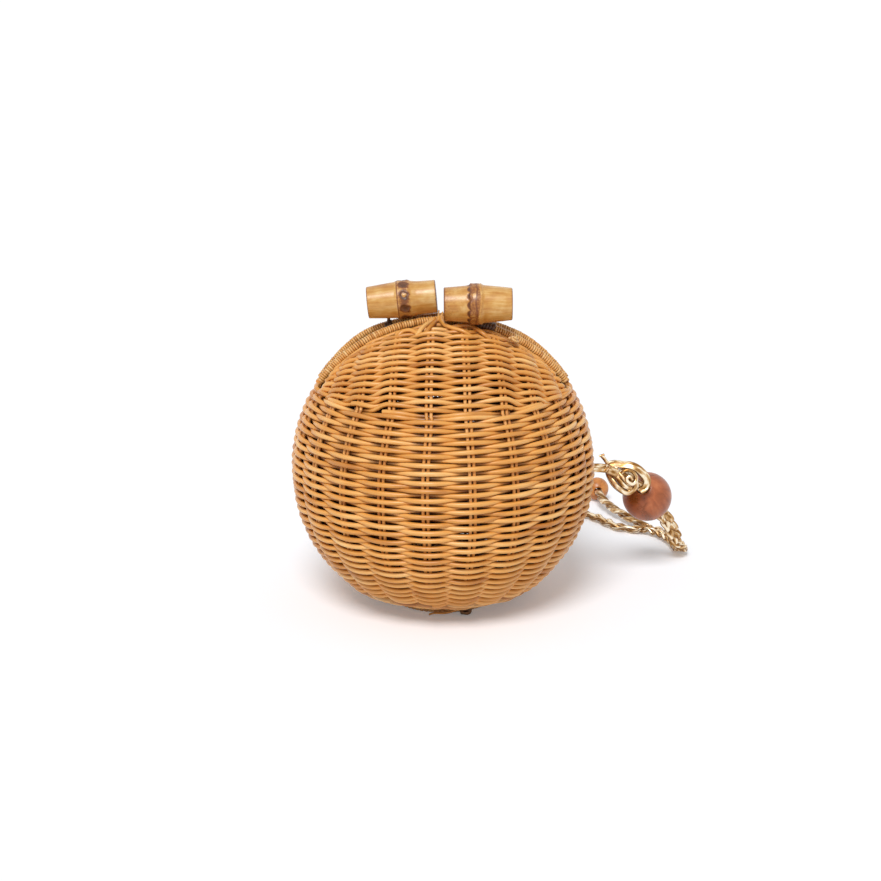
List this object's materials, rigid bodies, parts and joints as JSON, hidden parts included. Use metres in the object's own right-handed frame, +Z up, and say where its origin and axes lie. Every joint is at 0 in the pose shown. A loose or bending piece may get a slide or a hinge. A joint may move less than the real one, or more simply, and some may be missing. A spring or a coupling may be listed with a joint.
{
  "type": "rattan clutch",
  "caption": "Ball-shaped woven rattan clutch with a lipped top mouth, a bamboo-root kiss clasp and a plaited metallic leather wrist strap with wooden beads",
  "frame": {"origin": "centre of the bag's footprint on the plane that the foot ring rests on, without the strap", "axes": "+Z up; -Y is the front, which the picture shows; the mouth and the bamboo clasp run along X, and the strap leaves at +X"},
  "size_m": [0.2519, 0.303, 0.1985],
  "materials": {
    "rattan_weave": "varnished round rattan core, honey tan",
    "rattan_stakes": "round rattan core",
    "cane_peel": "flat glossy cane peel",
    "bamboo_root": "polished bamboo root, pale tan with brown node rings",
    "brown_cane": "dark brown cane",
    "gold_leather": "metallic gold leather cord",
    "brown_bead": "polished reddish brown wood",
    "orange_bead": "polished orange tan wood"
  },
  "bodies": {
    "basket": {"bowl_weave": "rattan_weave", "front_shoulder_weave": "rattan_weave", "back_shoulder_weave": "rattan_weave", "base_weave": "rattan_weave", "foot_ring": "rattan_weave", "bowl_stakes": "rattan_stakes", "base_cross": "rattan_stakes", "foot_knot": "cane_peel", "strap_lead": "gold_leather", "strap_knot": "gold_leather", "strap_knot_tail": "gold_leather", "strap_braid": "gold_leather", "strap_braid_leg": "gold_leather", "strap_twist_leg": "gold_leather", "big_bead": "brown_bead", "small_bead": "orange_bead"},
    "front_lip": {"front_lip_weave": "rattan_weave", "front_rim_core": "rattan_stakes", "front_rim_whipping": "cane_peel", "rim_curl": "cane_peel", "right_tie": "brown_cane", "bamboo_right": "bamboo_root"},
    "back_lip": {"back_lip_weave": "rattan_weave", "back_rim_core": "rattan_stakes", "back_rim_whipping": "cane_peel", "left_tie": "brown_cane", "bamboo_left": "bamboo_root"}
  },
  "joints": [
    {"name": "front_lip_hinge", "type": "hinge", "parent": "basket", "child": "front_lip", "pos_m": [0, 0, 0.13537], "axis": [1, 0, 0], "range_deg": [0, 25], "stiffness_Nm_per_rad": 0.15, "deforming": ["front_shoulder_weave"]},
    {"name": "back_lip_hinge", "type": "hinge", "parent": "basket", "child": "back_lip", "pos_m": [0, 0, 0.13537], "axis": [-1, 0, 0], "range_deg": [0, 25], "stiffness_Nm_per_rad": 0.15, "deforming": ["back_shoulder_weave"]}
  ]
}
